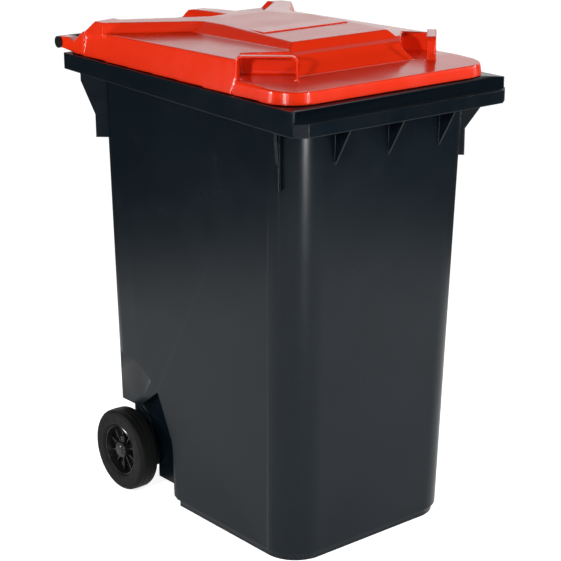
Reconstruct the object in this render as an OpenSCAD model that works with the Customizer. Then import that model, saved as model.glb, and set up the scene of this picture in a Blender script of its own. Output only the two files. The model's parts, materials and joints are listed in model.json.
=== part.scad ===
// Two-wheeled 360 litre waste bin: tub with comb rim, hinged lid with corner grips,
// steel axle and clip-on rubber-tyred wheels.
// Frame: +Z up, front faces -Y, wheels and hinge at the rear (+Y), X is the symmetry direction.
// Origin: on the floor, below the middle of the overall box.

/* [Tub] */
// Half width of the tub just above the plinth
tub_half_w_low = 243; // [235:1:246]
// Half width of the tub under the rim
tub_half_w_top = 261; // [255:1:264]
// Distance of the front wall from the origin just above the plinth
tub_front_low = 353; // [345:1:358]
// Distance of the front wall from the origin under the rim
tub_front_top = 391; // [380:1:395]
// Distance of the rear wall from the origin
tub_rear = 318; // [314:1:322]
// Corner radius of the two front corners
front_corner_r = 82; // [70:1:90]
// Corner radius of the two rear corners
rear_corner_r = 60; // [52:1:70]
// Wall thickness of the tub
wall = 5; // [4:0.5:6]

/* [Rim] */
// Overall width of the rim
rim_w = 600; // [596:1:604]
// Distance of the upper rim band from the origin at the front
rim_front = 433; // [430:1:436]
// Distance of the rim band from the origin at the rear
rim_rear = 391; // [388:1:394]
// Height of the rim's top at the front
rim_top_front = 1026.5; // [1024:0.5:1029]
// Height of the rim's top at the rear
rim_top_rear = 1044.5; // [1042:0.5:1047]
// Depth by which the comb band stands proud of the upper band
comb_proud = 19; // [14:1:24]

/* [Wheels] */
// Wheel diameter over the tyre
wheel_d = 200; // [196:1:204]
// Width of the tyre
tyre_w = 50; // [46:1:50]
// Distance of the wheel's outer face from the middle plane
wheel_outer = 290; // [288:1:292]
// Distance of the axle from the origin along Y
axle_y = 237.6; // [234:0.2:241]
// Diameter of the steel axle
axle_d = 22; // [20:1:24]
// Number of ribs on each side of the wheel disc
spokes = 10; // [8:1:12]

/* [Hinge] */
// Distance of the hinge axis from the origin along Y
hinge_y = 419.3; // [417:0.1:421]
// Height of the hinge axis
hinge_z = 1065; // [1063:0.5:1067]
// Outer diameter of the hinge knuckles
knuckle_d = 28; // [26:0.5:29]
// Diameter of the hinge pin's shaft
pin_d = 16; // [14:0.5:18]

/* [Lid] */
// Half width of the lid at its lower edge
lid_half_w = 293; // [290:1:295]
// Distance of the lid's front edge from the origin
lid_front = 410; // [405:1:414]
// Half width of the lid's shoulder
shoulder_half_w = 276.5; // [272:0.5:280]
// Height of the lid's shoulder at its edge
shoulder_z = 1101.5; // [1098:0.5:1104]
// Wall thickness of the lid
lid_wall = 4; // [3.5:0.5:5]

/* [Hidden] */
$fn = 96;
eps = 0.01;
far = 2000;
run_gap = 0.06;              // radial running clearance on the axle and hinge pins
side_gap = 0.5;              // gap between parts that turn beside each other

// moves the parts, drawn from the middle of the tub's frame, to the middle of the overall box
shift_y = (rim_front + comb_proud - hinge_y - knuckle_d / 2) / 2;

plinth_h = 18;
plinth_inset = 7;
floor_t = 6;
tub_top_z = 1000;
wheel_r = wheel_d / 2;
axle_z = wheel_r;
axle_r = axle_d / 2;
rim_slope = atan((rim_top_rear - rim_top_front) / (rim_rear + rim_front));
band_low_front = 975;        // lower edge of the rim's side band at the front
band_low_rear = 1008.5;      // and at the rear
band_wall = 4.5;
step_z = 206;                // underside of the tub's rear overhang
low_rear = 178;              // rear wall of the tub's lower part
low_floor = 32;              // underside of the tub's lower part behind the plinth
low_fillet = 66;             // curve between the lower rear wall and the overhang
rear_edge_r = 28;            // curve round the overhang's rear edge
well_half_w = 214;           // half width of the tub between the wheel wells
web_x = 218;                 // middle of the outer axle web
web_t = 8;

anthracite = [0.13, 0.145, 0.155];
glossy_black = [0.05, 0.05, 0.055];
rubber_grey = [0.17, 0.17, 0.165];
steel = [0.72, 0.73, 0.74];
signal_red = [0.86, 0.16, 0.08];
nylon = [0.82, 0.82, 0.78];

// ---------------------------------------------------------------- helpers

// Points on a circular arc, from angle a0 to a1
function arc(cx, cy, r, a0, a1, n) =
    [for (i = [0:n]) [cx + r * cos(a0 + (a1 - a0) * i / n), cy + r * sin(a0 + (a1 - a0) * i / n)]];

// Height of the rim's top plane at a given Y
function rim_top(y) = rim_top_front + (y + rim_front) * tan(rim_slope);

// Extrudes a Y-Z outline along X, centred on x
module side_prism(pts, w, x = 0) {
    translate([x, 0, 0]) rotate([90, 0, 90]) linear_extrude(w, center = true) polygon(pts);
}

// Extrudes an X-Z outline along Y, from y0 to y1
module front_prism(pts, y0, y1) {
    translate([0, y1, 0]) rotate([90, 0, 0]) linear_extrude(y1 - y0) polygon(pts);
}

// Solid cylinder along X between two X positions, on a given Y-Z point
module x_rod(r, x0, x1, y, z) {
    translate([x0, y, z]) rotate([0, 90, 0]) cylinder(r = r, h = x1 - x0);
}

// Moves its children to their place in the shared frame
module place() {
    translate([0, shift_y, 0]) children();
}

// Draws its children on the left and on the right
module both_sides() {
    children();
    mirror([1, 0, 0]) children();
}

// Upright cylinders at the four corners of a layer; wrapped in a hull they make a rounded slab
module corner_posts(hw, front, rear, rf, rr, z, h) {
    for (s = [-1, 1]) {
        translate([s * (hw - rf), -(front - rf), z]) cylinder(r = rf, h = h, $fn = 64);
        translate([s * (hw - rr), rear - rr, z]) cylinder(r = rr, h = h, $fn = 48);
    }
}

// ---------------------------------------------------------------- tub

// Tapered tub volume, shrunk by i on its sides, from height z0
module tub_volume(i, z0) {
    hull() {
        corner_posts(tub_half_w_low - i, tub_front_low - i, tub_rear - i,
            front_corner_r - i, rear_corner_r - i, z0, 1);
        corner_posts(tub_half_w_top - i, tub_front_top - i, tub_rear - i,
            front_corner_r - i, rear_corner_r - i, tub_top_z - 1, 1);
    }
}

// Outline of the wheel arch on the tub's side: flat top, long curve, steep straight, upright front
arch_front = 76;
arch_top = 333.5;
arch_pts = concat(
    [[500, -50], [500, arch_top], [262, arch_top]],
    arc(262, arch_top - 172, 172, 90, 128, 8),
    arc(178.4, 241.6, 60, 140, 153, 2),
    arc(126, 148, 50, 153, 180, 4),
    [[arch_front, -50]]);

// Side outline of the deep well: its roof is level at the rear and rises forwards; grown by i
function well_pts(i) = [[500, -50], [500, step_z + i], [220 + 0.3 * i, step_z + i],
    [137, 266 + 1.19 * i], [60, 315.2 + 1.19 * i], [60, -50]];

// Space behind the lower tub and under the rear overhang, with a large curve in its corner
// and a smaller one round the overhang's rear edge
module rear_step(i) {
    side_prism(concat(
        [[low_rear - i, -50], [500, -50], [500, step_z + rear_edge_r]],
        arc(tub_rear - rear_edge_r, step_z + rear_edge_r, rear_edge_r - i, 0, -90, 6),
        arc(low_rear + low_fillet, step_z - low_fillet, low_fillet + i, 90, 180, 10)),
        far);
}

// Wheel wells and the shallow recesses above them, grown by i
module wheel_wells(i) {
    both_sides() {
        intersection() {
            offset_prism(arch_pts, i);
            side_prism(well_pts(i), far);
            translate([well_half_w - i, -far / 2, -100]) cube([far, far, 600]);
        }
        intersection() {
            offset_prism(arch_pts, i);
            front_prism([[235 - i, 200], [243.2 - i, 336], [244 - i, 360], [400, 360], [400, 200]],
                -far / 2, far / 2);
        }
    }
}

// Arch outline extruded along X; growing moves it forwards and upwards
module offset_prism(pts, i) {
    side_prism([for (p = pts) [p[0] - i, p[1] + i]], far);
}

// Bottom clearance: the lower tub behind the plinth is raised off the floor
module rear_undercut(i) {
    side_prism([[arch_front - 12 - i, -50], [arch_front - 12 - i, low_floor - 14 + i],
        [arch_front + 14, low_floor + i], [500, low_floor + i], [500, -50]], far);
}

// Foot of the tub, shrunk by i on its sides, from height z0
module plinth(i, z0) {
    hull() corner_posts(tub_half_w_low - plinth_inset - i, tub_front_low - plinth_inset - i,
        arch_front - 8 - i, front_corner_r - 4 - i, 7 - i, z0, plinth_h + 8 + i / 2 - z0);
}

module tub_outer() {
    difference() {
        tub_volume(0, plinth_h);
        rear_step(0);
        wheel_wells(0);
        rear_undercut(0);
    }
    plinth(0, 0);
}

module tub_inner() {
    plinth(wall, floor_t);
    difference() {
        tub_volume(wall, plinth_h + floor_t);
        rear_step(wall);
        wheel_wells(wall);
        rear_undercut(wall);
    }
    // open top, through the rim
    translate([0, 0, tub_top_z - 2]) linear_extrude(100) tub_top_outline(wall);
}

// ---------------------------------------------------------------- rim

// Side view of the rim: sloping top, band that is deeper at the front
rim_side_pts = [[-rim_front, band_low_front], [rim_rear, band_low_rear],
    [rim_rear, rim_top(rim_rear)], [-rim_front, rim_top(-rim_front)]];

// Side view of the hollow under the rim
rim_hollow_pts = [[-rim_front, band_low_front - 60], [rim_rear, band_low_rear - 60],
    [rim_rear, rim_top(rim_rear) - band_wall], [-rim_front, rim_top(-rim_front) - band_wall]];

module rim_plan(i, r) {
    linear_extrude(far) offset(r = r)
        translate([-(rim_w / 2 - i - r), -(rim_front - i - r)])
            square([rim_w - 2 * (i + r), rim_front + rim_rear - 2 * (i + r)]);
}

// Comb band along the front, standing proud of the upper band, with sloped-off ends
comb_top = 1003.5;
comb_pts = [[-rim_w / 2, -rim_front + 12], [-rim_w / 2, -rim_front + 1],
    [-rim_w / 2 + 27, -rim_front - comb_proud], [rim_w / 2 - 27, -rim_front - comb_proud],
    [rim_w / 2, -rim_front + 1], [rim_w / 2, -rim_front + 12]];
comb_hollow_pts = [[-rim_w / 2 + 10, -rim_front + 14], [-rim_w / 2 + 10, -rim_front + 3],
    [-rim_w / 2 + 31, -rim_front - comb_proud + 5], [rim_w / 2 - 31, -rim_front - comb_proud + 5],
    [rim_w / 2 - 10, -rim_front + 3], [rim_w / 2 - 10, -rim_front + 14]];

module rim() {
    difference() {
        union() {
            intersection() {
                side_prism(rim_side_pts, rim_w);
                rim_plan(0, 7);
            }
            translate([0, 0, band_low_front]) linear_extrude(comb_top - band_low_front)
                polygon(comb_pts);
        }
        // hollow underside between the tub and the outer band
        difference() {
            intersection() {
                side_prism(rim_hollow_pts, rim_w);
                rim_plan(band_wall, 4);
            }
            tub_volume(0, plinth_h + 500);
            translate([0, 0, tub_top_z - 1]) linear_extrude(100) tub_top_outline(0);
        }
        translate([0, 0, band_low_front - 50]) linear_extrude(comb_top - band_low_front + 46)
            polygon(comb_hollow_pts);
    }
}

// Outline of the tub at its top
module tub_top_outline(i) {
    hw = tub_half_w_top - i;
    rf = front_corner_r - i;
    rr = rear_corner_r - i;
    polygon(concat(
        arc(hw - rf, -(tub_front_top - i - rf), rf, -90, 0, 12),
        arc(hw - rr, tub_rear - i - rr, rr, 0, 90, 10),
        arc(-(hw - rr), tub_rear - i - rr, rr, 90, 180, 10),
        arc(-(hw - rf), -(tub_front_top - i - rf), rf, 180, 270, 12)));
}

// Upstand around the mouth that the lid drops over
module mouth_upstand() {
    intersection() {
        difference() {
            linear_extrude(far) tub_top_outline(0);
            linear_extrude(far) tub_top_outline(wall);
        }
        side_prism([[-500, 990], [500, 990], [500, rim_top(500) + 9], [-500, rim_top(-500) + 9]], far);
    }
}

// ---------------------------------------------------------------- tub details

gusset_x = [-148, 0, 148];
gusset_t = 3.5;
leg_low_z = 845;

// Triangular ribs under the front band
module front_gussets() {
    for (x = gusset_x)
        side_prism([[-384, 893], [-388, 893], [-rim_front + 1, 968], [-rim_front + 1, 1022], [-384, 1022]],
            gusset_t, x);
}

// Upright ribs that point out diagonally at the four corners, flared under the rim
corner_rib_t = 6;
module corner_rib(x, y, turn, pts) {
    translate([x, y, 0]) rotate([90, 0, turn]) linear_extrude(corner_rib_t, center = true) polygon(pts);
}

module corner_ribs() {
    both_sides() {
        corner_rib(256, -335, -45, [[-8, leg_low_z], [17, leg_low_z], [17, 905], [54, 959], [56, 980],
            [56, 1015], [-8, 1015]]);
        corner_rib(256, 287, 45, [[-10, 857], [24, 857], [24, 910], [55, 988], [55, 1015], [-10, 1015]]);
    }
}

// Plates that carry the axle under the rear overhang
web_pts = [[low_rear - 4, 64], [low_rear - 4, 176], [200, step_z + 3], [262, step_z + 3],
    [258, 132], [258, 88], [axle_y, 74]];
// Outline of the outer web's cheek beside the tub; its front edge is an arch
cheek_pts = [[176, 64], [176, 102], [181, 111], [193.5, 137.6], [200, 154], [209.3, 169.4],
    [218.5, 181], [229.2, 189.2], [246, 196], [252, step_z + 3], [262, step_z + 3],
    [258, 132], [258, 88], [axle_y, 74]];
inner_web_x = [45, 130];

module axle_webs() {
    both_sides() {
        side_prism(cheek_pts, web_t, web_x);
        side_prism(web_pts, 10, well_half_w - 5);
        x_rod(19, web_x - 12, 238 - side_gap, axle_y, axle_z);
        for (x = inner_web_x) side_prism(web_pts, 4, x);
    }
}

// Handle bar along the hinge axis, on webs behind the rim
bar_half_w = 261;
bar_web_x = [250, 160, 54];

module handle_bar() {
    x_rod(knuckle_d / 2, -bar_half_w, bar_half_w, hinge_y, hinge_z);
    both_sides() for (x = bar_web_x)
        side_prism([[rim_rear - 3, 1012], [rim_rear + 3, 1012], [hinge_y + 9, hinge_z - 9],
            [hinge_y, hinge_z], [hinge_y - 12, hinge_z - 5], [rim_rear + 2, rim_top(rim_rear)],
            [rim_rear - 3, rim_top(rim_rear)]], 6, x);
}

module body_shell() {
    color(anthracite) place() difference() {
        union() {
            difference() {
                union() {
                    tub_outer();
                    front_gussets();
                    corner_ribs();
                    rim();
                    mouth_upstand();
                }
                tub_inner();
            }
            axle_webs();
            handle_bar();
        }
        x_rod(axle_r, -far / 2, far / 2, axle_y, axle_z);
        both_sides() x_rod(pin_d / 2, bar_half_w - 45, far / 2, hinge_y, hinge_z);
    }
}

// ---------------------------------------------------------------- hinge pins

pin_head_t = 4;
pin_head_x = 290;

module hinge_pin() {
    color(glossy_black) place() {
        x_rod(pin_d / 2, bar_half_w - 44, pin_head_x, hinge_y, hinge_z);
        x_rod(knuckle_d / 2 - 0.3, pin_head_x - eps, pin_head_x + pin_head_t, hinge_y, hinge_z);
    }
}

module hinge_pin_right() { hinge_pin(); }
module hinge_pin_left() { mirror([1, 0, 0]) hinge_pin(); }

// ---------------------------------------------------------------- lid

lid_gap = 1;                 // lid above the rim's top
crest_y = 287;               // rear edge of the lid's top
crest_z = 1127;
valley_y = 360;              // where the rear slope meets the hinge arms
valley_z = 1071;
slope_top_y = -235;
slope_top_z = 1123.4;
slope_low_y = -290;
slope_low_z = 1061.5;
flange_z = 1055;
grip_out = 368;              // diagonal distance of the grip's outer edge from the origin
grip_w = 21;
pocket_in = 291;             // diagonal distance of the pocket's back wall
pocket_t0 = -88;             // pocket ends along the diagonal
pocket_t1 = 32;
grip_z = 1110.5;

// Flange that rests on the rim, with rounded front corners and drafted skirt
module lid_flange(i) {
    hull() {
        corner_posts(lid_half_w - i, lid_front - i, valley_y - i, 66 - i, 12 - i, 1010, 1);
        corner_posts(lid_half_w - 6 - i, lid_front - 6 - i, valley_y - 2 - i, 62 - i, 10 - i,
            flange_z - 1 - i, 1);
    }
}

// Gently rising deck between the skirt and the front slope
module front_deck(i) {
    hw = lid_half_w - 8 - i;
    y0 = lid_front - 8 - i;
    r = 60 - i;
    intersection() {
        side_prism([[-lid_front, 1012], [-lid_front, flange_z - 0.5 - i],
            [slope_low_y, slope_low_z - i], [0, slope_low_z + 2 - i], [0, 1012]], far);
        translate([0, 0, 1011]) linear_extrude(100) polygon(concat(
            arc(-(hw - r), -(y0 - r), r, 180, 270, 10), arc(hw - r, -(y0 - r), r, 270, 360, 10),
            [[hw, 0], [-hw, 0]]));
    }
}

// Side view of the lid's raised block up to the shoulder
block_side_pts = [[slope_low_y, 1010], [slope_low_y, slope_low_z], [-262, 1099], [-240, 1112],
    [285, 1112], [valley_y, valley_z], [valley_y, 1010]];
block_front_pts = [[-lid_half_w, 1010], [-lid_half_w, 1031], [-shoulder_half_w, shoulder_z],
    [-150, 1109], [150, 1109], [shoulder_half_w, shoulder_z], [lid_half_w, 1031], [lid_half_w, 1010]];

module lid_block(i) {
    difference() {
        intersection() {
            side_prism(inset_sides(block_side_pts, i), far);
            front_prism(inset_sides(block_front_pts, i), -far / 2, far / 2);
        }
        both_sides() diagonal() translate([grip_out - i, -far / 2, 1000])
            cube([far, far, 300]);
    }
}

// Turns the X axis to point out over the right front corner
module diagonal() {
    rotate([0, 0, -45]) children();
}

// Raised middle of the lid's top: its flanks slope, and it spreads to the rear corners as two
// diagonal arms with a tapering spine between them
crown_side_pts = [[slope_low_y, slope_low_z], [slope_top_y, slope_top_z], [-125, 1127.5], [90, 1135.5],
    [124, 1135], [215, 1133], [266, 1130.5], [crest_y, crest_z], [valley_y, valley_z],
    [valley_y, 1050], [slope_low_y, 1050]];
crown_front_pts = [[-163, 1095], [-124, 1134], [-124, 1150], [124, 1150], [124, 1134], [163, 1095]];
camber_pts = [[-300, 1000], [-300, 1122.7], [-60, 1136], [60, 1136], [300, 1122.7], [300, 1000]];

// Moves each point of an outline inwards from its side and down by i
function inset_sides(pts, i) = [for (p = pts) [p[0] + (p[0] < 0 ? i : -i), p[1] - i]];

module lid_crown(i) {
    difference() {
        intersection() {
            side_prism(inset_sides(crown_side_pts, i), far);
            front_prism(inset_sides(camber_pts, i), -far / 2, far / 2);
            union() {
                front_prism([for (p = crown_front_pts) [p[0] + (p[0] < 0 ? i : -i), p[1]]],
                    -far / 2, far / 2);
                hull() {
                    translate([0, 0, 1150]) linear_extrude(1) polygon(flare_plan(i));
                    translate([0, 0, 1095 - i]) linear_extrude(1) polygon(flare_plan(i - 14));
                }
            }
        }
        both_sides() translate([0, 0, recess_z - i]) linear_extrude(100) polygon(recess_plan(i));
    }
}

// Plan of the widened rear part of the crown
function flare_plan(i) = [[-122 + i, 86 + i], [-268 + i, 263 + i], [-268 + i, 400], [268 - i, 400],
    [268 - i, 263 + i], [122 - i, 86 + i]];

// Plan of the sunk panel between the spine and the right-hand arm, grown by i
recess_z = 1108;
function recess_plan(i) = [[28 - i, 124 - i], [77 + 0.4 * i, 118 - i], [223 + i, 263 - i],
    [226 + i, 420], [14 - i, 420], [17 - i, 266]];

// Pocket behind each grip, open on top and towards the corner
module grip_pocket(i) {
    both_sides() diagonal() translate([pocket_in - i, pocket_t0 - i, slope_low_z - i])
        cube([grip_out, pocket_t1 - pocket_t0 + 2 * i, 200]);
}

// Strap across the corner with a leg at each end
module grip_strap() {
    both_sides() diagonal() intersection() {
        difference() {
            grip_block(0);
            grip_block(lid_wall);
        }
        translate([grip_out - grip_w, -200, slope_low_z - 6]) cube([grip_w, 400, 100]);
    }
}

// Rounded block over the pocket, shrunk by i
module grip_block(i) {
    r = 14 - i;
    translate([grip_out - 60, pocket_t0 + i - 4, 1030]) rotate([90, 0, 90]) linear_extrude(120)
        translate([r, 0]) offset(r = r) square([pocket_t1 - pocket_t0 + 8 - 2 * i - 2 * r,
            grip_z - 1030 - i - r]);
}

// Arms at both ends that carry the lid's knuckles
arm_x0 = 262;
arm_x1 = 289.5;
arm_pts = [[320, 1048], [320, 1100], [valley_y, valley_z + 2], [385, hinge_z + 15],
    [hinge_y - 4, hinge_z + 13.4], [hinge_y, hinge_z], [hinge_y - 6, hinge_z - 12.6], [370, 1048]];

module hinge_arms() {
    both_sides() difference() {
        union() {
            side_prism(arm_pts, arm_x1 - arm_x0, (arm_x0 + arm_x1) / 2);
            x_rod(knuckle_d / 2, arm_x0, arm_x1, hinge_y, hinge_z);
        }
        x_rod(pin_d / 2 + run_gap, arm_x0 - 5, arm_x1 + 5, hinge_y, hinge_z);
    }
}

module lid_form(i) {
    lid_flange(i);
    front_deck(i);
    lid_block(i);
    lid_crown(i);
}

module lid_shell() {
    color(signal_red) place() difference() {
        union() {
            difference() {
                union() {
                    difference() {
                        lid_form(0);
                        grip_pocket(0);
                    }
                    grip_strap();
                }
                difference() {
                    lid_form(lid_wall);
                    grip_pocket(lid_wall);
                }
            }
            hinge_arms();
        }
        // sloping lower edge, just above the rim
        side_prism([[-500, 900], [-500, rim_top(-500) + lid_gap], [valley_y + 2, rim_top(valley_y) + lid_gap],
            [valley_y + 2, 900]], far);
    }
}

// Rubber buffers under the lid's front edge that meet the rim
buffer_x = [-210, -90, 90, 210];
buffer_y = -396.5;
module lid_buffers() {
    color(rubber_grey) place() for (x = buffer_x)
        translate([x, buffer_y, rim_top(buffer_y) + 0.4]) cylinder(r = 4.5, h = 24.5);
}

// ---------------------------------------------------------------- wheels

hub_r = 62;
boss_r = 20;
bush_r = 14;
wheel_inner = wheel_outer - tyre_w;
lock_x = wheel_outer - 16;
groove_r = 8.4;

// Steel axle with a groove for the lock pin near each end
module axle() {
    color(steel) place() difference() {
        x_rod(axle_r, -wheel_outer + 6, wheel_outer - 6, axle_y, axle_z);
        both_sides() difference() {
            x_rod(axle_r + 5, lock_x - 4, lock_x + 4, axle_y, axle_z);
            x_rod(groove_r, lock_x - 5, lock_x + 5, axle_y, axle_z);
        }
    }
}

// Places a right-hand wheel part, drawn about the X axis, on the axle
module on_axle() {
    translate([0, axle_y, axle_z]) rotate([0, 90, 0]) children();
}

// Solid of revolution about the axle; points are [radius, x]
module turned(pts) {
    on_axle() rotate_extrude() polygon(pts);
}

module hub() {
    mid = (wheel_inner + wheel_outer) / 2;
    color(glossy_black) place() difference() {
        union() {
            // barrel under the tyre
            turned([[56, wheel_inner + 5], [hub_r, wheel_inner + 3], [hub_r, wheel_outer - 5],
                [59.5, wheel_outer - 3.5], [58, wheel_outer - 5], [53, mid], [53, mid - 4]]);
            // disc and boss
            turned([[boss_r - 4, mid - 2], [54, mid - 2], [54, mid + 2], [boss_r - 4, mid + 2]]);
            turned([[bush_r, wheel_inner + 1], [boss_r, wheel_inner + 1], [boss_r, wheel_outer - 7],
                [boss_r - 3, wheel_outer - 4], [bush_r, wheel_outer - 4]]);
            // ribs on both faces of the disc
            for (k = [0:spokes - 1]) on_axle() rotate([0, 0, 360 * k / spokes])
                translate([bush_r + 3, -1.2, wheel_inner + 8]) cube([54 - bush_r - 3, 2.4, tyre_w - 22]);
            // tower that holds the lock pin and its spring
            translate([lock_x, axle_y, axle_z + 15]) cylinder(r = 6.5, h = 20);
        }
        // outer stretch of the bore, beyond the bush
        x_rod(axle_r + 0.5, wheel_inner - 1, wheel_outer, axle_y, axle_z);
        x_rod(bush_r, wheel_inner - 1, lock_x - 8, axle_y, axle_z);
        x_rod(bush_r, wheel_outer - 5.5, wheel_outer + 1, axle_y, axle_z);
        translate([lock_x, axle_y, axle_z]) cylinder(r = 2.1, h = 32);
        translate([lock_x, axle_y, axle_z + 12.7]) cylinder(r = 3.3, h = 19.3);
    }
}

// Turned bush between the axle and the hub
module bush() {
    color(nylon) place() turned([[axle_r + run_gap, wheel_inner + 1], [bush_r, wheel_inner + 1],
        [bush_r, lock_x - 8], [axle_r + run_gap, lock_x - 8]]);
}

// Rubber tyre with rounded shoulders and grooves beside the tread
module tyre() {
    r = wheel_r;
    w0 = wheel_inner;
    w1 = wheel_outer;
    color(rubber_grey) place() turned(concat(
        [[hub_r, w0 + 4], [hub_r + 3, w0 + 1], [hub_r + 8, w0], [r - 9, w0 + 1]],
        arc(r - 9, w0 + 9, 8, -90, -15, 4),
        [[r - 0.6, w0 + 9], [r - 2.2, w0 + 10], [r - 0.4, w0 + 11], [r - 0.2, w0 + 21.8],
         [r - 2, w0 + 23], [r, w0 + 24.2], [r - 0.2, w0 + 33.8], [r - 2, w0 + 35],
         [r - 0.4, w0 + 36.2]],
        arc(r - 11.5, w1 - 11, 11, 15, 90, 6),
        [[hub_r + 8, w1 - 1], [hub_r + 3, w1 - 3], [hub_r, w1 - 6]]));
}

// Snap-in cap over the axle's end
module hub_cap() {
    color(glossy_black) place() turned([[0, wheel_outer - 5.5], [bush_r - 0.05, wheel_outer - 5.5],
        [bush_r - 0.05, wheel_outer - 3.4], [11, wheel_outer - 1.6], [0, wheel_outer - 1]]);
}

// Steel washer between the tub's axle boss and the hub
module thrust_washer() {
    color(steel) place() turned([[axle_r, 238], [18, 238], [18, wheel_inner], [axle_r, wheel_inner]]);
}

lock_travel = 2.5;
pin_top = axle_z + 20;

// Lock pin: its tip runs in the axle's groove
module lock_pin() {
    color(steel) place() translate([lock_x, axle_y, 0]) {
        translate([0, 0, axle_z + groove_r + 0.3]) cylinder(r = 2, h = 6);
        translate([0, 0, axle_z + 13]) cylinder(r = 3.2, h = pin_top - axle_z - 13);
    }
}

// Coil that presses the lock pin towards the axle
spring_r = 2.4;
spring_wire = 0.7;
spring_turns = 5;
spring_h = 11.4;

module coil(r, wire, turns, h) {
    n = 14 * turns;
    m = 6;
    ring = function(k) [for (j = [0:m - 1]) let (a = 360 * k / 14, b = 360 * j / m)
        [(r + wire / 2 * cos(b)) * cos(a), (r + wire / 2 * cos(b)) * sin(a),
         wire / 2 * sin(b) + (h - wire) * k / n + wire / 2]];
    pts = [for (k = [0:n]) each ring(k)];
    polyhedron(pts, concat(
        [[for (j = [0:m - 1]) j]],
        [for (k = [0:n - 1]) for (j = [0:m - 1])
            [k * m + j, (k + 1) * m + j, (k + 1) * m + (j + 1) % m, k * m + (j + 1) % m]],
        [[for (j = [m - 1:-1:0]) n * m + j]]), convexity = 10);
}

module lock_spring() {
    color(steel) place() translate([lock_x, axle_y, pin_top + 0.2])
        coil(spring_r, spring_wire, spring_turns, spring_h);
}

module hub_right() { hub(); }
module hub_left() { mirror([1, 0, 0]) hub(); }
module tyre_right() { tyre(); }
module tyre_left() { mirror([1, 0, 0]) tyre(); }
module bush_right() { bush(); }
module bush_left() { mirror([1, 0, 0]) bush(); }
module hub_cap_right() { hub_cap(); }
module hub_cap_left() { mirror([1, 0, 0]) hub_cap(); }
module thrust_washer_right() { thrust_washer(); }
module thrust_washer_left() { mirror([1, 0, 0]) thrust_washer(); }
module lock_pin_right() { lock_pin(); }
module lock_pin_left() { mirror([1, 0, 0]) lock_pin(); }
module lock_spring_right() { lock_spring(); }
module lock_spring_left() { mirror([1, 0, 0]) lock_spring(); }

// ---------------------------------------------------------------- nodes

body_shell();
axle();
hinge_pin_left();
hinge_pin_right();
lid_shell();
lid_buffers();
hub_left();
hub_right();
tyre_left();
tyre_right();
bush_left();
bush_right();
hub_cap_left();
hub_cap_right();
thrust_washer_left();
thrust_washer_right();
lock_pin_left();
lock_pin_right();
lock_spring_left();
lock_spring_right();
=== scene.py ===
"""Looks for the two-wheeled refuse bin: a softened lid, a tub with rounded-looking edges,
procedural materials, a pale floor and soft studio light."""

import json
import math

import bmesh
import bpy
import numpy as np
from mathutils import Matrix, Vector
from mathutils.bvhtree import BVHTree


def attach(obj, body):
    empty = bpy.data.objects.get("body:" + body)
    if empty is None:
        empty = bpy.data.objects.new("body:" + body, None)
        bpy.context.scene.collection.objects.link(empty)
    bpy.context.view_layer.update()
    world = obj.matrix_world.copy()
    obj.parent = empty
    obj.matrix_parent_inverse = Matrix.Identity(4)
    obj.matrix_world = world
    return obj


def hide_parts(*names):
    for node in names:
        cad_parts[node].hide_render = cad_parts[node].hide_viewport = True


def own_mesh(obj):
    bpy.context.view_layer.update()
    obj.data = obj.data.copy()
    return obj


MM = 0.001
SHIFT_Y = 9.35  # from the tub's own middle to the middle of the overall box, in mm
WELD = 1e-6  # points closer than this, in metres, are one point

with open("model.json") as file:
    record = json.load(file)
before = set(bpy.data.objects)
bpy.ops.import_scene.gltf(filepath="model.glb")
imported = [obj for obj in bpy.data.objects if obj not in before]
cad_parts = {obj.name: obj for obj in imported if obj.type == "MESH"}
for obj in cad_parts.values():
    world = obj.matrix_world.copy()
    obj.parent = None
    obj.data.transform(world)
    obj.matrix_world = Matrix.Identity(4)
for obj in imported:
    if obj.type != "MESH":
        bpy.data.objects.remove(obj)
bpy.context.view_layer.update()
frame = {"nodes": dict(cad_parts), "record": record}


# ---------------------------------------------------------------- node helpers

NOISE_LOW, NOISE_HIGH = 0.3, 0.7  # the part of a noise texture's range that is used
BEVEL_SAMPLES = 8
MIX_FACTOR, MIX_FLOAT_A, MIX_FLOAT_B = 0, 2, 3  # socket numbers of a Mix node


def new_material(name):
    """A new material, its node tree and its Principled shader."""
    mat = bpy.data.materials.new(name)
    mat.use_nodes = True
    tree = mat.node_tree
    shader = tree.nodes["Principled BSDF"]
    return mat, tree, shader


def add_noise(tree, scale, detail=3.0, rough=0.5, stretch=(1, 1, 1)):
    """A noise texture in object space; stretch scales its axes."""
    coord = tree.nodes.new("ShaderNodeTexCoord")
    mapping = tree.nodes.new("ShaderNodeMapping")
    mapping.inputs["Scale"].default_value = stretch
    noise = tree.nodes.new("ShaderNodeTexNoise")
    noise.inputs["Scale"].default_value = scale
    noise.inputs["Detail"].default_value = detail
    noise.inputs["Roughness"].default_value = rough
    tree.links.new(coord.outputs["Object"], mapping.inputs["Vector"])
    tree.links.new(mapping.outputs["Vector"], noise.inputs["Vector"])
    return noise.outputs["Fac"]


def remap(tree, value, low, high, out_low=0.0, out_high=1.0):
    """Maps value from low..high to out_low..out_high, clamped."""
    node = tree.nodes.new("ShaderNodeMapRange")
    node.inputs["From Min"].default_value = low
    node.inputs["From Max"].default_value = high
    node.inputs["To Min"].default_value = out_low
    node.inputs["To Max"].default_value = out_high
    tree.links.new(value, node.inputs["Value"])
    return node.outputs["Result"]


def colour_socket(sockets, name):
    """The colour socket of that name on a Mix node."""
    return [s for s in sockets if s.name == name and s.type == "RGBA"][0]


def mixed(tree, factor, first, second):
    """Mixes two colours, each a triple, by factor."""
    node = tree.nodes.new("ShaderNodeMix")
    node.data_type = "RGBA"
    tree.links.new(factor, node.inputs[MIX_FACTOR])
    colour_socket(node.inputs, "A").default_value = (*first, 1)
    colour_socket(node.inputs, "B").default_value = (*second, 1)
    return colour_socket(node.outputs, "Result")


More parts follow.
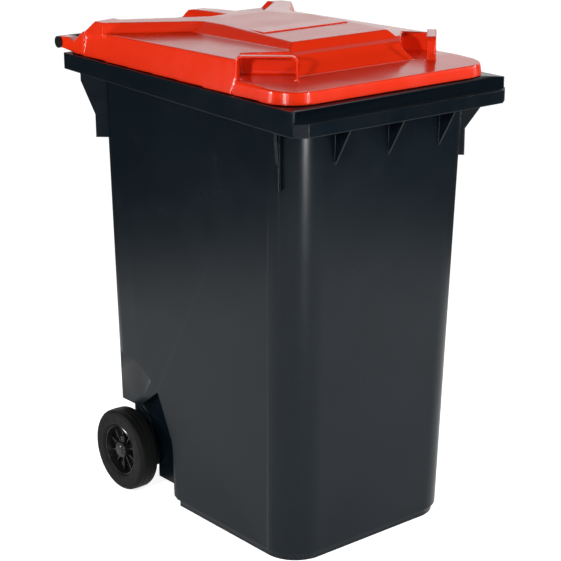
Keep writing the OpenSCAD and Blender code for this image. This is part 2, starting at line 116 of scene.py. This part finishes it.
def add_bump(tree, shader, heights, edge=0.0):
    """Chains bumps, each (height output, strength, distance in metres), into the shader's normal.
    With edge, corners look rounded to that radius in metres."""
    normal = None
    if edge:
        rounded = tree.nodes.new("ShaderNodeBevel")
        rounded.samples = BEVEL_SAMPLES
        rounded.inputs["Radius"].default_value = edge
        normal = rounded.outputs["Normal"]
    for height, strength, distance in heights:
        bump = tree.nodes.new("ShaderNodeBump")
        bump.inputs["Strength"].default_value = strength
        bump.inputs["Distance"].default_value = distance
        tree.links.new(height, bump.inputs["Height"])
        if normal is not None:
            tree.links.new(normal, bump.inputs["Normal"])
        normal = bump.outputs["Normal"]
    tree.links.new(normal, shader.inputs["Normal"])


# ---------------------------------------------------------------- materials

WAVE_DEPTH, GRAIN_DEPTH = 0.004, 0.0004  # metres, on moulded plastic
PIT_DEPTH, BRUSH_DEPTH = 0.0005, 0.0003  # metres, on rubber and on steel


def moulded_plastic(name, dark, light, rough, grain, wave, specular=0.5, edge=0.0):
    """Moulded plastic: slow tone changes, uneven gloss, fine grain and a faint waviness."""
    mat, tree, shader = new_material(name)
    tone = remap(tree, add_noise(tree, scale=5.0, detail=4.0), NOISE_LOW, NOISE_HIGH)
    tree.links.new(mixed(tree, tone, dark, light), shader.inputs["Base Color"])
    patches = add_noise(tree, scale=14.0, detail=6.0, rough=0.6)
    gloss = remap(tree, patches, NOISE_LOW, NOISE_HIGH, *rough)
    tree.links.new(gloss, shader.inputs["Roughness"])
    shader.inputs["Specular IOR Level"].default_value = specular
    waves = (add_noise(tree, scale=9.0, detail=1.0), wave, WAVE_DEPTH)
    grains = (add_noise(tree, scale=900.0, detail=2.0), grain, GRAIN_DEPTH)
    add_bump(tree, shader, [waves, grains], edge)
    return mat


def tyre_rubber(name):
    """Matt dark rubber with a dusty bloom and fine pits."""
    mat, tree, shader = new_material(name)
    clean, dusty = (0.0055, 0.0058, 0.0062), (0.0105, 0.0105, 0.0105)
    bloom = add_noise(tree, scale=22.0, detail=8.0, rough=0.65)
    dust = remap(tree, bloom, low=0.45, high=0.75)
    tree.links.new(mixed(tree, dust, clean, dusty), shader.inputs["Base Color"])
    shader.inputs["Specular IOR Level"].default_value = 0.14
    patches = add_noise(tree, scale=60.0, detail=4.0)
    gloss = remap(tree, patches, NOISE_LOW, NOISE_HIGH, out_low=0.45, out_high=0.6)
    tree.links.new(gloss, shader.inputs["Roughness"])
    pits = add_noise(tree, scale=420.0, detail=6.0, rough=0.7)
    add_bump(tree, shader, [(pits, 0.35, PIT_DEPTH)])
    return mat


def brushed_steel(name):
    """Zinc-bright steel with fine lines along X."""
    mat, tree, shader = new_material(name)
    dull, bright = (0.42, 0.43, 0.44), (0.6, 0.61, 0.62)
    lines = add_noise(tree, scale=300.0, detail=4.0, rough=0.6, stretch=(0.05, 1, 1))
    tone = remap(tree, lines, NOISE_LOW, NOISE_HIGH)
    tree.links.new(mixed(tree, tone, dull, bright), shader.inputs["Base Color"])
    shader.inputs["Metallic"].default_value = 1.0
    gloss = remap(tree, lines, NOISE_LOW, NOISE_HIGH, out_low=0.24, out_high=0.42)
    tree.links.new(gloss, shader.inputs["Roughness"])
    add_bump(tree, shader, [(lines, 0.15, BRUSH_DEPTH)])
    return mat


body_plastic = moulded_plastic(
    "body_plastic",
    dark=(0.0018, 0.0052, 0.0084),
    light=(0.0034, 0.0074, 0.0112),
    rough=(0.20, 0.28),
    grain=0.05,
    wave=0.03,
    specular=0.24,
    edge=0.0028,
)
lid_plastic = moulded_plastic(
    "lid_plastic",
    dark=(0.80, 0.026, 0.0025),
    light=(0.86, 0.031, 0.0035),
    rough=(0.16, 0.24),
    grain=0.03,
    wave=0.06,
)
black_plastic = moulded_plastic(
    "black_plastic",
    dark=(0.006, 0.006, 0.007),
    light=(0.010, 0.010, 0.011),
    rough=(0.2, 0.32),
    grain=0.06,
    wave=0.05,
)
nylon = moulded_plastic(
    "nylon",
    dark=(0.60, 0.59, 0.54),
    light=(0.66, 0.65, 0.60),
    rough=(0.4, 0.5),
    grain=0.1,
    wave=0.05,
)
rubber = tyre_rubber("tyre_rubber")
steel = brushed_steel("axle_steel")
BY_SLOT = {
    "body_plastic": body_plastic,
    "lid_plastic": lid_plastic,
    "black_plastic": black_plastic,
    "nylon": nylon,
    "tyre_rubber": rubber,
    "buffer_rubber": rubber,
    "axle_steel": steel,
}


def dress(obj, slot):
    """Gives obj the material of a record slot."""
    obj.data.materials.clear()
    obj.data.materials.append(BY_SLOT[slot])


NODE_SLOT = {s["node"]: s["material_slot"] for s in frame["record"]["subparts"]}
for node_name, node_obj in frame["nodes"].items():
    dress(node_obj, NODE_SLOT[node_name])


# ---------------------------------------------------------------- mesh helpers

LARGE_FACES_LEAD = 70  # weight of the Weighted Normal modifier
FULL_PULL, NO_PULL = 0.3, 0.7  # mm from the sharp shape: fully drawn back, not drawn back


def new_object(name, data):
    """A linked object with that data."""
    obj = bpy.data.objects.new(name, data)
    bpy.context.scene.collection.objects.link(obj)
    return obj


def mesh_object(name, verts, faces):
    """A linked object from points in metres and faces."""
    mesh = bpy.data.meshes.new(name)
    mesh.from_pydata(verts, [], faces)
    mesh.update()
    return new_object(name, mesh)


def apply_all(obj):
    """Applies obj's modifiers in place."""
    graph = bpy.context.evaluated_depsgraph_get()
    graph.update()
    mesh = bpy.data.meshes.new_from_object(obj.evaluated_get(graph))
    obj.modifiers.clear()
    obj.data = mesh


def modify(obj, kind, **values):
    """Adds a modifier with the given settings and applies it."""
    mod = obj.modifiers.new(kind.lower(), kind)
    for key, value in values.items():
        setattr(mod, key, value)
    apply_all(obj)


def cad_copy(name, source):
    """A new object with a copy of the CAD node's mesh."""
    bm = bmesh.new()
    bm.from_mesh(frame["nodes"][source].data)
    mesh = bpy.data.meshes.new(name)
    bm.to_mesh(mesh)
    bm.free()
    return new_object(name, mesh)


def crisp(obj, angle):
    """Smooth shading, but for edges sharper than angle in degrees."""
    bm = bmesh.new()
    bm.from_mesh(obj.data)
    bmesh.ops.remove_doubles(bm, verts=bm.verts, dist=WELD)
    bm.to_mesh(obj.data)
    bm.free()
    obj.data.shade_smooth()
    obj.data.set_sharp_from_angle(angle=math.radians(angle))
    modify(obj, "WEIGHTED_NORMAL", weight=LARGE_FACES_LEAD, keep_sharp=True)


def flatten(obj, sharp):
    """Draws the points that lie close to the sharp shape back onto it, so that flat walls stay flat."""
    mesh = obj.data
    flat = np.empty(3 * len(mesh.vertices), dtype=np.float32)
    mesh.vertices.foreach_get("co", flat)
    points = flat.reshape(-1, 3)
    find = sharp.find_nearest
    nearest = np.array([find(Vector(p))[0] for p in points], dtype=np.float32)
    gap = np.linalg.norm(nearest - points, axis=1) / MM
    pull = np.clip((NO_PULL - gap) / (NO_PULL - FULL_PULL), 0, 1)[:, None]
    mesh.vertices.foreach_set("co", (points + (nearest - points) * pull).ravel())
    mesh.update()


def soften(obj, voxel, passes, most_faces):
    """Turns obj into one skin with rounded edges, of at most about that many triangles."""
    bm = bmesh.new()
    bm.from_mesh(obj.data)
    sharp = BVHTree.FromBMesh(bm)
    bm.free()
    modify(obj, "REMESH", mode="VOXEL", voxel_size=voxel, adaptivity=0.0)
    modify(obj, "SMOOTH", factor=0.5, iterations=passes)
    flatten(obj, sharp)
    modify(obj, "TRIANGULATE")
    ratio = most_faces / max(1, len(obj.data.polygons))
    if ratio < 1:
        modify(obj, "DECIMATE", ratio=ratio)
    obj.data.shade_smooth()
    modify(obj, "WEIGHTED_NORMAL", weight=LARGE_FACES_LEAD)


def slab(name, outline, low, high):
    """A closed slab between two heights in mm; its (x, y) outline in mm is in the tub's own frame."""
    n = len(outline)
    points = [
        (x * MM, (y + SHIFT_Y) * MM, level * MM)
        for level in (low, high)
        for x, y in outline
    ]
    faces = [list(range(n))[::-1], list(range(n, 2 * n))]
    faces += [[i, (i + 1) % n, n + (i + 1) % n, n + i] for i in range(n)]
    obj = mesh_object(name, points, faces)
    bm = bmesh.new()
    bm.from_mesh(obj.data)
    bmesh.ops.recalc_face_normals(bm, faces=bm.faces)
    bm.to_mesh(obj.data)
    bm.free()
    return obj


# ---------------------------------------------------------------- lid and tub

LID_VOXEL = 0.002  # metres
LID_PASSES = 8
LID_FACES = 190000
PANEL = [(-120, -125), (121, -121), (121, -30), (-113, -30)]  # mm
PANEL_LOW, PANEL_TOP = 1125.5, 1129.8  # mm
PANEL_EDGE = 0.0004  # metres
PANEL_SHARP, TUB_SHARP, COIL_SHARP = 40, 13, 60  # degrees between faces

lid = cad_copy("lid_moulding", "lid_shell")
soften(lid, LID_VOXEL, LID_PASSES, LID_FACES)
dress(lid, "lid_plastic")
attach(lid, "lid")
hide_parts("lid_shell")

panel = slab("lid_panel", PANEL, PANEL_LOW, PANEL_TOP)
modify(panel, "BEVEL", width=PANEL_EDGE, segments=2)
crisp(panel, PANEL_SHARP)
dress(panel, "lid_plastic")
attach(panel, "lid")

tub = cad_copy("tub_moulding", "body_shell")
crisp(tub, TUB_SHARP)
dress(tub, "body_plastic")
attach(tub, "tub")
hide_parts("body_shell")


# ---------------------------------------------------------------- lock springs

for side in ("left", "right"):
    node = f"lock_spring_{side}"
    coil = cad_copy(f"coil_{side}", node)
    crisp(coil, COIL_SHARP)
    dress(coil, "axle_steel")
    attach(coil, f"wheel_{side}")
    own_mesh(coil)
    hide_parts(node)


# ---------------------------------------------------------------- floor

FLOOR_HALF = 9  # metres from the origin to each edge
FLOOR_CORNERS = [(-1, -1), (1, -1), (1, 1), (-1, 1)]
FLOOR_MIDDLE = (-0.45, -0.55, 0)  # middle of the painted pool of light, in metres
FLOOR_NEAR, FLOOR_FAR = 1.9, 2.7  # metres: radius of the painted pool of light and where it has faded out
# floor colours of a painted pool of light: painted light inside the circle, painted shade beyond it
FLOOR_PAINTED_SHADE, FLOOR_PAINTED_LIGHT = (0.12, 0.12, 0.12), (0.9, 0.9, 0.9)
FLOOR_PAINTED_GLOW = 0.3  # painted light: the pool's own glow on the object, though the floor is no lamp
FLOOR_SEEN_NEAR, FLOOR_SEEN_FAR = 0.8, 1.0  # the floor's own light as the camera sees it


def vector_math(tree, kind, vector):
    """A Vector Math node of that kind on an output."""
    node = tree.nodes.new("ShaderNodeVectorMath")
    node.operation = kind
    tree.links.new(vector, node.inputs[0])
    return node


def number_math(tree, kind, first, second):
    """The result of a Math node of that kind on two outputs or numbers."""
    node = tree.nodes.new("ShaderNodeMath")
    node.operation = kind
    for socket, value in zip(node.inputs, (first, second)):
        if isinstance(value, (int, float)):
            socket.default_value = value
        else:
            tree.links.new(value, socket)
    return node.outputs[0]


def studio_floor():
    """A pale floor with a painted pool of light around the object: painted shade in its colour beyond
    the circle and a painted glow that lights the object; plain white to the camera.
    """
    mat, tree, shader = new_material("floor")
    coord = tree.nodes.new("ShaderNodeTexCoord")
    shifted = vector_math(tree, "SUBTRACT", coord.outputs["Object"])
    shifted.inputs[1].default_value = FLOOR_MIDDLE
    away = vector_math(tree, "LENGTH", shifted.outputs[0])
    # painted pool of light: 1 inside the circle, fading to 0 beyond it
    painted_pool = remap(tree, away.outputs["Value"], FLOOR_NEAR, FLOOR_FAR, 1.0, 0.0)
    # floor colour: painted light inside the pool, painted shade around it
    tone = mixed(tree, painted_pool, FLOOR_PAINTED_SHADE, FLOOR_PAINTED_LIGHT)
    tree.links.new(tone, shader.inputs["Base Color"])
    shader.inputs["Roughness"].default_value = 0.9
    shader.inputs["Specular IOR Level"].default_value = 0.1
    path = tree.nodes.new("ShaderNodeLightPath")
    # painted glow: inside the pool the floor gives off light onto the object, though it is no lamp
    painted_glow = number_math(tree, "MULTIPLY", painted_pool, FLOOR_PAINTED_GLOW)
    level = remap(tree, painted_pool, 0.0, 1.0, FLOOR_SEEN_FAR, FLOOR_SEEN_NEAR)
    missing = number_math(tree, "SUBTRACT", level, painted_glow)
    white = number_math(tree, "MULTIPLY", path.outputs["Is Camera Ray"], missing)
    strength = number_math(tree, "ADD", painted_glow, white)
    shader.inputs["Emission Color"].default_value = (1, 1, 1, 1)
    tree.links.new(strength, shader.inputs["Emission Strength"])
    return mat


corners = [(x * FLOOR_HALF, y * FLOOR_HALF, 0) for x, y in FLOOR_CORNERS]
floor = mesh_object("floor", corners, [[0, 1, 2, 3]])
floor.data.materials.append(studio_floor())


# ---------------------------------------------------------------- light

WORLD_AZIMUTH, WORLD_ELEVATION = 140.5, 15.0  # degrees: where the room is brightest
DIM_COSINE, BRIGHT_COSINE = 0.66, 0.92  # of the angle from there
DIM_LIGHT, BRIGHT_LIGHT = 0.04, 1.1
SEEN_LIGHT = 1.0


def heading(azimuth, elevation):
    """The unit vector towards azimuth and elevation in degrees; azimuth 0 is the front, -90 the left."""
    a, e = math.radians(azimuth), math.radians(elevation)
    return Vector((math.sin(a) * math.cos(e), -math.cos(a) * math.cos(e), math.sin(e)))


def studio_world():
    """A room that is white to the camera; as light it is bright behind on the right, dim elsewhere."""
    world = bpy.data.worlds.new("studio")
    bpy.context.scene.world = world
    world.use_nodes = True
    tree = world.node_tree
    tree.nodes.clear()
    coord = tree.nodes.new("ShaderNodeTexCoord")
    dot = vector_math(tree, "DOT_PRODUCT", coord.outputs["Generated"])
    dot.inputs[1].default_value = heading(WORLD_AZIMUTH, WORLD_ELEVATION)
    cosine = dot.outputs["Value"]
    level = remap(tree, cosine, DIM_COSINE, BRIGHT_COSINE, DIM_LIGHT, BRIGHT_LIGHT)
    path = tree.nodes.new("ShaderNodeLightPath")
    strength = tree.nodes.new("ShaderNodeMix")
    tree.links.new(path.outputs["Is Camera Ray"], strength.inputs[MIX_FACTOR])
    tree.links.new(level, strength.inputs[MIX_FLOAT_A])
    strength.inputs[MIX_FLOAT_B].default_value = SEEN_LIGHT
    shader = tree.nodes.new("ShaderNodeBackground")
    shader.inputs["Color"].default_value = (1, 1, 1, 1)
    tree.links.new(strength.outputs[0], shader.inputs["Strength"])
    output = tree.nodes.new("ShaderNodeOutputWorld")
    tree.links.new(shader.outputs["Background"], output.inputs["Surface"])


studio_world()

LAMP_AIM = Vector((0, 0, 0.75))
LAMP_DISTANCE = 3.5
LAMPS = [  # azimuth and elevation in degrees, power in watts, side in metres
    (-118, 12, 46, 0.2),
    (-61, 16, 46, 0.2),
    (16, 14, 46, 0.2),
    (56, 12, 42, 0.2),
    (-20.5, -8, 28, 0.35),
]


def square_lamp(name, azimuth, elevation, power, size):
    """A soft square lamp that points at the object and that the camera doesn't see."""
    data = bpy.data.lights.new(name, "AREA")
    data.shape = "RECTANGLE"
    data.size = size
    data.size_y = size
    data.energy = power
    lamp = new_object(name, data)
    place = LAMP_AIM + heading(azimuth, elevation) * LAMP_DISTANCE
    lamp.location = place
    lamp.rotation_euler = (LAMP_AIM - place).to_track_quat("-Z", "Y").to_euler()
    lamp.visible_camera = False


for number, lamp_values in enumerate(LAMPS):
    square_lamp(f"lamp_{number}", *lamp_values)


# ---------------------------------------------------------------- camera

AZIMUTH, ELEVATION, ROLL = -39.45, 17.21, -0.38  # degrees
DISTANCE, TARGET = 3.71505, Vector((0, -0.01975, 0.53257))  # metres
LENS, SENSOR_WIDTH = 102.84, 36  # mm

camera_data = bpy.data.cameras.new("camera")
camera_data.lens = LENS
camera_data.sensor_width = SENSOR_WIDTH
camera_data.dof.use_dof = False
camera = new_object("camera", camera_data)
back = heading(AZIMUTH, ELEVATION)
camera.location = TARGET + back * DISTANCE
level_view = back.to_track_quat("Z", "Y").to_matrix().to_4x4()
roll_view = Matrix.Rotation(math.radians(ROLL), 4, "Z")
camera.rotation_euler = (level_view @ roll_view).to_euler()
bpy.context.scene.camera = camera
bpy.context.scene.view_settings.view_transform = "Standard"
